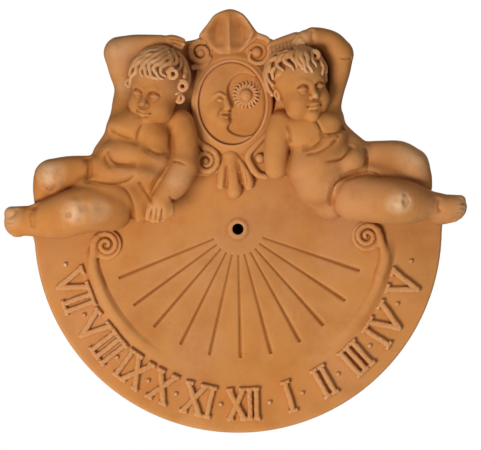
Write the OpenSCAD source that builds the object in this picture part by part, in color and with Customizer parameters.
// Terracotta wall sundial: two reclining putti and a sun-and-moon cartouche above a numbered dial.
//
// The clay pieces are modelled apart and luted together, so each is a solid of its own.
// Frame: X to the right as the dial is read, Z up, the wall is the plane y = 0 and the front faces -Y.
// The origin is on the axis of the gnomon socket. Outlines are drawn in the (x, z) plane, and a depth is
// a distance in front of the wall. Hour angles run from 0 at the left through 90 at the foot of the dial.

/* [Dial slab] */
// Radius of the round dial
dial_r = 204.5; // [200:0.5:210]
// Thickness of the slab
slab_t = 22; // [20:1:26]
// Height at which the round dial gives way to the shaped backing
dial_top = 5; // [0:1:8]

/* [Gnomon socket] */
// Radius of the gnomon socket
socket_r = 5.5; // [4:0.5:7]
// Depth of the gnomon socket
socket_depth = 19; // [12:0.5:20]
// Radius of the raised lip round the socket
socket_lip_r = 9.5; // [8.5:0.5:12]
// Height of that lip above the slab
socket_lip_h = 1; // [0.5:0.5:2]

/* [Hanging holes] */
// Radius of each blind hanging hole
hanger_r = 5; // [4:0.5:6]
// Depth of each hanging hole
hanger_depth = 14; // [10:1:16]
// Distance of each hole from the middle
hanger_x = 75; // [70:1:80]
// Height of the holes above the origin
hanger_z = 120; // [110:1:125]

/* [Hollowed back] */
// Depth of the hollows in the back
hollow_depth = 8; // [4:1:9]
// Half width of the ribs that cross at the origin
rib_half = 15; // [12:1:18]
// Width of the rim round the lower hollow
rim_w = 20; // [16:1:24]
// Radius left solid round the gnomon socket
socket_pad_r = 34; // [28:1:38]
// Radius left solid round each hanging hole
hanger_pad_r = 17; // [14:1:18]

/* [Hour lines] */
// Distance of the lines' inner ends from the gnomon
line_start_r = 26; // [22:1:30]
// Distance of the lines' outer ends from the gnomon
line_end_r = 128.5; // [120:0.5:132]
// Width of a line at its inner end
line_start_w = 1.4; // [1:0.1:2]
// Width of a line at its outer end
line_end_w = 3.6; // [2:0.1:5]
// Depth of a line
line_depth = 2.2; // [1:0.1:4]

/* [Numerals] */
// Distance of the numerals' tops from the gnomon
numeral_top_r = 158; // [157:0.5:160]
// Distance of the numerals' feet from the gnomon
numeral_foot_r = 192; // [188:0.5:196]
// Height of the numerals above the slab
numeral_h = 5.5; // [3:0.5:8]
// Width of a numeral's stroke
stroke_w = 5.4; // [4:0.1:6]
// Height of the bars that join the strokes
serif_h = 4.4; // [3:0.1:6]

/* [Dots] */
// Distance of the dots from the gnomon
dot_ring_r = 176; // [172:0.5:180]
// Radius of a dot at its base
dot_r = 3.4; // [2:0.1:4]
// Height of a dot
dot_h = 4; // [2:0.5:6]

/* [Scroll ribbons] */
// Inner radius of the ribbons
ribbon_in_r = 142.5; // [138:0.5:144]
// Outer radius of the ribbons
ribbon_out_r = 156; // [154:0.5:157]
// Height of a ribbon at its volute
ribbon_h = 6.5; // [4:0.5:9]
// Radius of the volutes that end the ribbons
ribbon_volute_r = 15.5; // [13:0.5:17]

/* [Cartouche] */
// Depth of the cartouche plate's face
plate_front = 32; // [28:1:34]
// Depth of the medallion's sunk field
field_front = 29; // [26:1:30]
// Depth of the oval frame's crown
frame_front = 41; // [36:1:44]
// Half width of the oval frame
oval_half_w = 37.5; // [36:0.5:40]
// Half height of the oval frame
oval_half_h = 45.5; // [43:0.5:47]
// Width of the oval frame's moulding
frame_w = 4.5; // [4:0.5:6]

/* [Hidden] */
$fn = 64;
figure_fn = 20; // facets round a limb
small_fn = 14; // facets round a finger or a toe
overlap = 0.5; // how far a cutting solid reaches past the face it cuts
terracotta = [0.76, 0.50, 0.30];
pale_terracotta = [0.84, 0.62, 0.42];
dark_terracotta = [0.68, 0.42, 0.23];
oval_centre = [-6, 125];
sun_centre = [8.2, 133.6];

// name, hour angle, letters, arc that the letters fill
numerals = [
    ["vii", 20.5, "VII", 14],
    ["viii", 38, "VIII", 17],
    ["ix", 53.5, "IX", 10.3],
    ["x", 64.3, "X", 8],
    ["xi", 76.8, "XI", 10.6],
    ["xii", 91.7, "XII", 11],
    ["i", 107, "I", 3.2],
    ["ii", 119.5, "II", 5.5],
    ["iii", 132.4, "III", 8],
    ["iv", 147, "IV", 13],
    ["v", 161.4, "V", 9]
];
hour_lines = [22.3, 36.2, 49.4, 63.6, 77.3, 91.2, 105, 118.9, 131.7, 146.4, 161.2];
dots = [11.6, 29.2, 46.7, 59.4, 69.4, 84.4, 100.4, 111.5, 124.6, 138.5, 154.9, 169.5];

// ---- Helpers ----

// A flat outline becomes a plate between two depths.
module plate(back, front) {
    rotate([90, 0, 0])
        translate([0, 0, back])
            linear_extrude(front - back)
                children();
}

// A closed outline through its guide points, rounded between them.
function rounded(points, steps = 4) =
    let (n = len(points))
    [for (i = [0 : n - 1], s = [0 : steps - 1])
        let (a = points[(i + n - 1) % n], b = points[i], c = points[(i + 1) % n],
             d = points[(i + 2) % n], t = s / steps)
        0.5 * (2 * b + (c - a) * t + (2 * a - 5 * b + 4 * c - d) * pow(t, 2)
               + (3 * b - a - 3 * c + d) * pow(t, 3))];

// A point on the dial at an hour angle and a distance from the gnomon.
function on_dial(angle, r) = [-r * cos(angle), -r * sin(angle)];

function ellipse(half_w, half_h, from = 0, to = 360, steps = 48) =
    [for (i = [0 : steps]) let (a = from + (to - from) * i / steps) [half_w * cos(a), half_h * sin(a)]];

// A solid swept through rings of points, all with the same count.
module swept(rings) {
    n = len(rings[0]);
    last = len(rings) - 1;
    polyhedron(
        points = [for (ring = rings) each ring],
        faces = concat(
            [[for (i = [0 : n - 1]) i]],
            [[for (i = [0 : n - 1]) last * n + n - 1 - i]],
            [for (k = [0 : last - 1], i = [0 : n - 1])
                [k * n + i, (k + 1) * n + i, (k + 1) * n + (i + 1) % n, k * n + (i + 1) % n]]));
}

// A ribbon that curls inward, as an outline: it starts at angle start and winds through turns.
module spiral(outer_r, inner_r, start, turns, w, steps = 40) {
    function centre_line(t) = outer_r - w / 2 - (outer_r - inner_r - w / 2) * t;
    function at(t, side) =
        let (a = start + 360 * turns * t, r = centre_line(t) + side * w / 2 * (1 - 0.45 * t))
        [r * cos(a), r * sin(a)];
    polygon(concat([for (i = [0 : steps]) at(i / steps, 1)],
                   [for (i = [steps : -1 : 0]) at(i / steps, -1)]));
}

// A volute: a low round base, a raised curling ribbon and a round eye.
module volute(centre, r, back, front, start, turns) {
    step = (front - back) * 0.35;
    translate([centre[0], 0, centre[1]]) {
        plate(back, front - step)
            circle(r - 0.4);
        plate(back, front)
            spiral(r, r * 0.3, start, turns, r * 0.34);
        plate(back, front)
            circle(r * 0.26);
    }
}

// A ball of clay given as [x, z, depth, radius].
module bead(b, facets = figure_fn) {
    translate([b[0], -b[2], b[1]])
        sphere(r = b[3], $fn = facets);
}

// A limb through a row of beads.
module limb(beads, facets = figure_fn) {
    for (i = [0 : len(beads) - 2])
        hull() {
            bead(beads[i], facets);
            bead(beads[i + 1], facets);
        }
}

// An ellipsoid at [x, z, depth] with radii along x, z and depth, turned by tilt in the (x, z) plane.
module egg(at, radii, tilt = 0, facets = 26) {
    translate([at[0], -at[2], at[1]])
        rotate([0, tilt, 0])
            hull()
                scale([radii[0], radii[2], radii[1]])
                    sphere(r = 1, $fn = facets);
}

// Everything behind the slab's face, which the figures are pressed against.
module behind_slab() {
    translate([-300, -slab_t, -300])
        cube([600, 100, 600]);
}

// ---- Dial slab ----

backing = [
    [-202, -7], [-200, 24], [-198, 49], [-188, 64], [-150, 71], [-134, 81], [-125, 101], [-120, 129],
    [-126, 159], [-125, 176], [-113, 187], [-78, 187], [-48, 189], [-36, 194], [-26, 206], [-10, 214],
    [5, 209], [19, 193], [35, 186], [62, 193], [84, 196], [104, 187], [109, 170], [103, 146], [99, 129],
    [104, 104], [117, 89], [162, 84], [180, 64], [191, 39], [198, 29], [199, 3], [150, -30], [0, -60],
    [-150, -30]
];

// The slab's outline: a round dial below, a shaped backing above.
module slab_outline() {
    intersection() {
        circle(dial_r, $fn = 180);
        translate([-dial_r, -dial_r])
            square([2 * dial_r, dial_r + dial_top]);
    }
    polygon(rounded(backing));
}

module hour_line(angle) {
    rotate(180 + angle)
        polygon([
            [line_start_r, -line_start_w / 2],
            [line_end_r, -line_end_w / 2],
            [line_end_r, line_end_w / 2],
            [line_start_r, line_start_w / 2]
        ]);
}

// Hollows between the rim, the ribs, the socket pad and the hanger pads.
module lower_hollow() {
    difference() {
        circle(dial_r - rim_w);
        circle(socket_pad_r);
        translate([-dial_r, -rib_half])
            square([2 * dial_r, 2 * dial_r]);
    }
}

left_hollow = [
    [-182, rib_half], [-180, 42], [-146, 52], [-116, 68], [-104, 98], [-100, 130], [-106, 166],
    [-rib_half, 168], [-rib_half, 38], [-38, rib_half]
];
right_hollow = [
    [182, rib_half], [178, 34], [162, 62], [110, 68], [86, 94], [81, 128], [88, 160], [84, 172],
    [rib_half, 168], [rib_half, 38], [38, rib_half]
];

module upper_hollow(outline, side) {
    difference() {
        polygon(outline);
        circle(socket_pad_r);
        translate([side * hanger_x, hanger_z])
            circle(hanger_pad_r);
    }
}

module dial_slab() {
    color(terracotta)
        difference() {
            union() {
                plate(0, slab_t)
                    slab_outline();
                plate(slab_t, slab_t + socket_lip_h)
                    circle(socket_lip_r);
            }
            plate(slab_t + socket_lip_h - socket_depth, slab_t + 2 * socket_lip_h)
                circle(socket_r);
            for (angle = hour_lines)
                plate(slab_t - line_depth, slab_t + overlap)
                    hour_line(angle);
            plate(-overlap, hollow_depth)
                lower_hollow();
            plate(-overlap, hollow_depth)
                upper_hollow(left_hollow, -1);
            plate(-overlap, hollow_depth)
                upper_hollow(right_hollow, 1);
            for (side = [-1, 1])
                translate([side * hanger_x, 0, hanger_z])
                    plate(-overlap, hanger_depth)
                        circle(hanger_r);
        }
}

// ---- Scroll ribbons ----

// One cross-section of a ribbon, its height fading with the share t of its length.
function ribbon_ring(angle, t) =
    let (h = 0.4 + (ribbon_h - 0.4) * (1 - pow(t, 1.6)), w = ribbon_out_r - ribbon_in_r)
    [for (p = [[0, 0], [0.1, 0.75], [0.3, 1], [0.75, 1], [1, 0.35], [1, 0]])
        let (r = ribbon_in_r + w * p[0], at = on_dial(angle, r))
        [at[0], -slab_t - h * p[1], at[1]]];

// A band along the dial from its volute at hour angle from, to the foot where it fades out.
module ribbon_band(from, to, steps = 26) {
    rings = [for (i = [0 : steps]) ribbon_ring(from + (to - from) * i / steps, i / steps)];
    swept(to > from ? rings : [for (i = [steps : -1 : 0]) rings[i]]);
}

module left_scroll_ribbon() {
    color(terracotta) {
        ribbon_band(6.5, 74);
        volute([-131.5, -15.5], ribbon_volute_r, slab_t, slab_t + ribbon_h, 180, -1.6);
    }
}

module right_scroll_ribbon() {
    color(terracotta) {
        ribbon_band(177.5, 110);
        volute([129, -7], ribbon_volute_r, slab_t, slab_t + ribbon_h, 0, 1.6);
    }
}

// ---- Numerals and dots ----

letter_units = [["I", 1], ["V", 3.3], ["X", 3]];
function units(letter) = [for (u = letter_units) if (u[0] == letter) u[1]][0];
function sum(list, n) = n == 0 ? 0 : list[n - 1] + sum(list, n - 1);

module bar(from, to, w) {
    run = to - from;
    across = [-run[1], run[0]] / norm(run) * w / 2;
    polygon([from - across, to - across, to + across, from + across]);
}

// One letter in a box w wide and h high, with its bars at the head and the foot.
module letter(name, w, h) {
    if (name == "I")
        bar([w / 2, 0], [w / 2, h], stroke_w);
    if (name == "V") {
        bar([w * 0.5, 1.5], [w * 0.16, h], stroke_w);
        bar([w * 0.5, 1.5], [w * 0.84, h], stroke_w);
        polygon([[w * 0.36, 0], [w * 0.64, 0], [w * 0.5, h * 0.45]]);
    }
    if (name == "X") {
        bar([w * 0.16, 0], [w * 0.84, h], stroke_w);
        bar([w * 0.84, 0], [w * 0.16, h], stroke_w);
    }
    if (name != "V")
        square([w, serif_h]);
    translate([0, h - serif_h])
        square([w, serif_h]);
}

module numeral(n) {
    middle_r = (numeral_top_r + numeral_foot_r) / 2;
    h = numeral_foot_r - numeral_top_r;
    total = middle_r * n[3] * PI / 180;
    shares = [for (letter = n[2]) units(letter)];
    unit = total / sum(shares, len(shares));
    color(pale_terracotta)
        plate(slab_t, slab_t + numeral_h)
            intersection() {
                rotate(n[1] - 90)
                    translate([-total / 2, -numeral_foot_r])
                        for (i = [0 : len(n[2]) - 1])
                            translate([unit * sum(shares, i), 0])
                                letter(n[2][i], unit * shares[i] + 0.8, h);
                circle(numeral_foot_r + 3);
            }
}

module hour_dots() {
    color(pale_terracotta)
        for (angle = dots) {
            at = on_dial(angle, dot_ring_r);
            translate([at[0], -slab_t, at[1]])
                rotate([90, 0, 0])
                    cylinder(r1 = dot_r, r2 = dot_r * 0.55, h = dot_h);
        }
}

// ---- Cartouche ----

crest_outline = [
    [-38, 190], [-27, 209], [-19, 216], [-10, 219.4], [-1, 218], [7, 213], [15, 203], [20, 190],
    [9, 176], [-7, 171], [-24, 175]
];
cartouche_outline = [
    [-38, 188], [-20, 205], [-7, 208], [8, 202], [20, 192], [36, 188], [37, 172], [32, 156], [35, 125],
    [32, 97], [26, 78], [24, 54], [2, 58], [-7, 52], [-16, 58], [-40, 54], [-46, 68], [-40, 90],
    [-46, 112], [-46, 138], [-40, 160], [-48, 176], [-46, 187]
];

module at_oval() {
    translate([oval_centre[0], 0, oval_centre[1]])
        children();
}

module cartouche_plate() {
    color(dark_terracotta)
        difference() {
            plate(slab_t, plate_front)
                polygon(rounded(cartouche_outline));
            at_oval()
                plate(field_front, plate_front + overlap)
                    polygon(ellipse(oval_half_w - frame_w, oval_half_h - frame_w));
        }
}

module oval_frame() {
    crown = [frame_w * 0.2, frame_w * 0.7];
    color(terracotta)
        at_oval()
            difference() {
                union() {
                    plate(plate_front, frame_front - 3)
                        polygon(ellipse(oval_half_w, oval_half_h));
                    plate(plate_front, frame_front)
                        polygon(ellipse(oval_half_w - crown[0], oval_half_h - crown[0]));
                }
                plate(plate_front - overlap, frame_front + overlap)
                    polygon(ellipse(oval_half_w - frame_w, oval_half_h - frame_w));
                plate(frame_front - 2, frame_front + overlap)
                    polygon(ellipse(oval_half_w - crown[1], oval_half_h - crown[1]));
            }
}

module crest_leaf() {
    color(terracotta) {
        plate(plate_front, plate_front + 5)
            polygon(rounded(crest_outline));
        plate(plate_front + 5, plate_front + 9)
            polygon(rounded([[-9, 214], [-3, 214], [-3, 190], [4, 176], [-7, 173], [-18, 176], [-9, 190]]));
    }
}

// The moon's inner edge: a calm profile in textbook proportions, from the upper horn to the lower.
moon_profile = [
    [19, 27], [8, 30], [0, 27.5], [-4.5, 20], [-5.5, 12], [-3.5, 6], [1, -3], [-2.5, -6.5], [-1.5, -9.5],
    [-4, -12], [-2, -15], [-4.5, -18.5], [-1, -24], [8, -30], [20, -30]
];

module medallion_moon() {
    half_w = oval_half_w - frame_w;
    half_h = oval_half_h - frame_w;
    color(terracotta)
        at_oval() {
            plate(field_front, field_front + 6)
                polygon(concat(
                    [for (p = ellipse(half_w - 0.3, half_h - 0.3, 52, 308)) p],
                    [for (i = [len(moon_profile) - 1 : -1 : 0]) moon_profile[i]]));
            plate(field_front + 6, field_front + 9)
                polygon(rounded([[-5, 14], [-7, 4], [-5, -4], [-8, -20], [-17, -22], [-27, -4], [-22, 16]]));
        }
}

module medallion_sun() {
    rays = 18;
    color(pale_terracotta)
        translate([sun_centre[0], 0, sun_centre[1]]) {
            plate(field_front, field_front + 3)
                polygon([for (i = [0 : 2 * rays - 1])
                    let (r = i % 2 == 0 ? 13.5 : 8) [r * cos(i * 180 / rays), r * sin(i * 180 / rays)]]);
            plate(field_front, field_front + 5)
                circle(6);
            plate(field_front, field_front + 7)
                circle(3.6);
        }
}

module upper_left_volute() {
    color(terracotta)
        volute([-36, 176], 12, plate_front, plate_front + 8, 90, -1.4);
}

module upper_right_volute() {
    color(terracotta)
        volute([24, 177], 11, plate_front, plate_front + 8, 90, 1.4);
}

module lower_left_volute() {
    color(terracotta)
        volute([-33, 67], 14, plate_front, plate_front + 8, 60, -1.4);
}

module lower_right_volute() {
    strap = [
        [24, 92], [10, 80], [4, 72], [8, 62], [16, 54], [24, 54], [24, 60], [16, 68], [18, 78], [27, 88]
    ];
    color(terracotta) {
        plate(plate_front, plate_front + 7)
            polygon(rounded(strap));
        bead([19.5, 70, plate_front + 3, 5]);
    }
}

// A rounded petal from root to tip.
module petal(root, tip, root_w, tip_w) {
    hull() {
        translate(root)
            circle(root_w);
        translate(tip)
            circle(tip_w);
    }
}

module pendant_leaf() {
    color(terracotta) {
        plate(slab_t, plate_front + 3)
            petal([-7, 78], [-4, 34.5], 7, 5.5);
        plate(slab_t, plate_front - 1) {
            petal([-10, 66], [-17, 42.5], 3.5, 4.5);
            petal([-2, 66], [10, 42.5], 3.5, 4.5);
        }
    }
}

// ---- Putti: forms ----
// Each form is whole, and each node below is its form less the forms that it is pressed against.

module left_torso_form() {
    egg([-96, 94, 42], [34, 27, 30], 8);
    egg([-107, 66, 44], [33, 30, 33]);
    egg([-100, 38, 40], [38, 22, 32]);
    egg([-112, 99, 50], [16, 13, 18]);
    egg([-82, 92, 52], [16, 14, 18]);
    egg([-74, 40, 36], [18, 20, 22]);
    limb([[-60, 104, 40, 15], [-108, 114, 36, 16]]);
    limb([[-84, 110, 42, 14], [-82, 126, 48, 14]]);
}

module left_head_form() {
    egg([-80, 136, 50], [27, 31, 30], 15);
    egg([-85, 120, 58], [22, 17, 24], 15);
    bead([-92, 126, 79, 6.5]);
    bead([-84, 134, 80, 4]);
    bead([-55, 130, 52, 6], small_fn);
}

module left_hair_form() {
    difference() {
        egg([-75, 147, 51], [31, 34, 31], 15);
        translate([-92, -100, 108])
            rotate([90, 0, 0])
                cylinder(r = 26, h = 60, center = true);
    }
    limb([[-92, 160, 78, 6], [-84, 151, 82, 6]], small_fn);
    bead([-63, 152, 76, 8], small_fn);
}

module left_raised_arm_form() {
    limb([[-110, 112, 38, 18], [-112, 135, 36, 15], [-113, 158, 35, 16], [-115, 172, 36, 16.5]]);
    limb([[-115, 172, 36, 16.5], [-88, 179, 42, 12], [-66, 182, 48, 8.5]]);
    limb([[-66, 182, 48, 8.5], [-58, 181, 54, 7]], small_fn);
}

module left_lowered_arm_form() {
    limb([[-56, 102, 42, 17], [-54, 82, 46, 13.5], [-56, 64, 52, 13], [-68, 46, 58, 12], [-85, 29, 62, 9]]);
    limb([[-85, 29, 62, 9], [-79, 18, 64, 10]]);
    for (i = [0 : 3])
        limb([[-86 + 6 * i, 18, 66, 5], [-88 + 7.5 * i, 10, 62, 4.5]], small_fn);
}

module left_front_leg_form() {
    limb([[-112, 26, 46, 24], [-140, 22, 52, 25], [-160, 15, 56, 24], [-184, 11, 50, 20], [-202, 8, 44, 14]]);
    limb([[-206, 8, 44, 13], [-217, 5, 44, 13]]);
    bead([-226.5, 14, 46, 7], small_fn);
    for (i = [0 : 3])
        bead([-226 + 2.2 * i, 6 - 5 * i, 46, 5.6 - 0.4 * i], small_fn);
}

module left_back_leg_form() {
    limb([[-140, 50, 38, 20], [-166, 48, 40, 20], [-184, 44, 40, 17], [-192, 34, 34, 12]]);
}

module right_torso_form() {
    egg([78, 96, 42], [36, 26, 30], -6);
    egg([90, 66, 42], [40, 30, 32], -15);
    egg([92, 44, 40], [34, 26, 30], -20);
    egg([66, 92, 52], [18, 16, 18]);
    egg([91, 100, 50], [15, 12, 16]);
    limb([[40, 104, 38, 14], [102, 110, 36, 17]]);
    limb([[74, 110, 42, 14], [68, 124, 46, 14]]);
    limb([[112, 72, 38, 18], [122, 68, 36, 16]]);
}

module right_head_form() {
    egg([62, 142, 50], [28, 31, 30], -4);
    egg([67, 126, 58], [24, 17, 24], -4);
    bead([77, 129, 78, 6.5]);
    bead([76, 140, 79, 4]);
    bead([37, 142, 52, 6], small_fn);
}

module right_hair_form() {
    difference() {
        egg([58, 149, 51], [33, 33, 32], -6);
        translate([78, -100, 120])
            rotate([90, 0, 0])
                cylinder(r = 30, h = 60, center = true);
    }
    limb([[58, 168, 74, 7], [64, 160, 80, 6]], small_fn);
    limb([[34, 186, 44, 8], [52, 184, 46, 8]], small_fn);
}

module right_raised_arm_form() {
    limb([[100, 114, 36, 17], [97, 134, 34, 13], [98, 156, 34, 13.5], [97, 174, 36, 16.5]]);
    limb([[97, 174, 36, 16.5], [82, 185, 42, 14], [66, 185, 50, 10]]);
    limb([[66, 185, 50, 10], [60, 179, 58, 7.5]], small_fn);
}

module right_lowered_arm_form() {
    limb([[40, 100, 42, 14.5], [38, 78, 42, 13], [38, 58, 40, 12]]);
}

module right_front_leg_form() {
    limb([[116, 32, 46, 24], [140, 28, 52, 25], [164, 26, 54, 22.5], [186, 25, 46, 16], [200, 22, 42, 12]]);
    limb([[202, 22, 42, 12], [214, 20, 42, 12]]);
    bead([221, 28, 44, 7], small_fn);
    for (i = [0 : 3])
        bead([222.5 - 2 * i, 20 - 4.5 * i, 44, 5.5 - 0.4 * i], small_fn);
}

module right_back_leg_form() {
    limb([[140, 68, 36, 20], [162, 66, 38, 20], [176, 56, 36, 16], [184, 44, 32, 11]]);
}

// ---- Putti: nodes ----

module left_torso() {
    color(terracotta)
        difference() {
            left_torso_form();
            behind_slab();
        }
}

module left_head() {
    color(pale_terracotta)
        difference() {
            left_head_form();
            left_torso_form();
            behind_slab();
        }
}

module left_hair() {
    color(dark_terracotta)
        difference() {
            left_hair_form();
            left_head_form();
            left_torso_form();
            behind_slab();
        }
}

module left_raised_arm() {
    color(terracotta)
        difference() {
            left_raised_arm_form();
            left_torso_form();
            left_head_form();
            left_hair_form();
            behind_slab();
        }
}

module left_front_leg() {
    color(terracotta)
        difference() {
            left_front_leg_form();
            left_torso_form();
            behind_slab();
        }
}

module left_back_leg() {
    color(terracotta)
        difference() {
            left_back_leg_form();
            left_torso_form();
            left_front_leg_form();
            behind_slab();
        }
}

module left_lowered_arm() {
    color(terracotta)
        difference() {
            left_lowered_arm_form();
            left_torso_form();
            left_head_form();
            left_hair_form();
            left_front_leg_form();
            behind_slab();
        }
}

module right_torso() {
    color(terracotta)
        difference() {
            right_torso_form();
            behind_slab();
        }
}

module right_head() {
    color(pale_terracotta)
        difference() {
            right_head_form();
            right_torso_form();
            behind_slab();
        }
}

module right_hair() {
    color(dark_terracotta)
        difference() {
            right_hair_form();
            right_head_form();
            right_torso_form();
            behind_slab();
        }
}

module right_raised_arm() {
    color(terracotta)
        difference() {
            right_raised_arm_form();
            right_torso_form();
            right_head_form();
            right_hair_form();
            behind_slab();
        }
}

module right_front_leg() {
    color(terracotta)
        difference() {
            right_front_leg_form();
            right_torso_form();
            behind_slab();
        }
}

module right_back_leg() {
    color(terracotta)
        difference() {
            right_back_leg_form();
            right_torso_form();
            right_front_leg_form();
            behind_slab();
        }
}

module right_lowered_arm() {
    color(terracotta)
        difference() {
            right_lowered_arm_form();
            right_torso_form();
            right_head_form();
            right_hair_form();
            behind_slab();
        }
}

// ---- Nodes ----

dial_slab();
left_scroll_ribbon();
right_scroll_ribbon();
for (n = numerals)
    numeral(n);
hour_dots();
cartouche_plate();
crest_leaf();
oval_frame();
medallion_moon();
medallion_sun();
upper_left_volute();
upper_right_volute();
lower_left_volute();
lower_right_volute();
pendant_leaf();
left_torso();
left_head();
left_hair();
left_raised_arm();
left_lowered_arm();
left_front_leg();
left_back_leg();
right_torso();
right_head();
right_hair();
right_raised_arm();
right_lowered_arm();
right_front_leg();
right_back_leg();
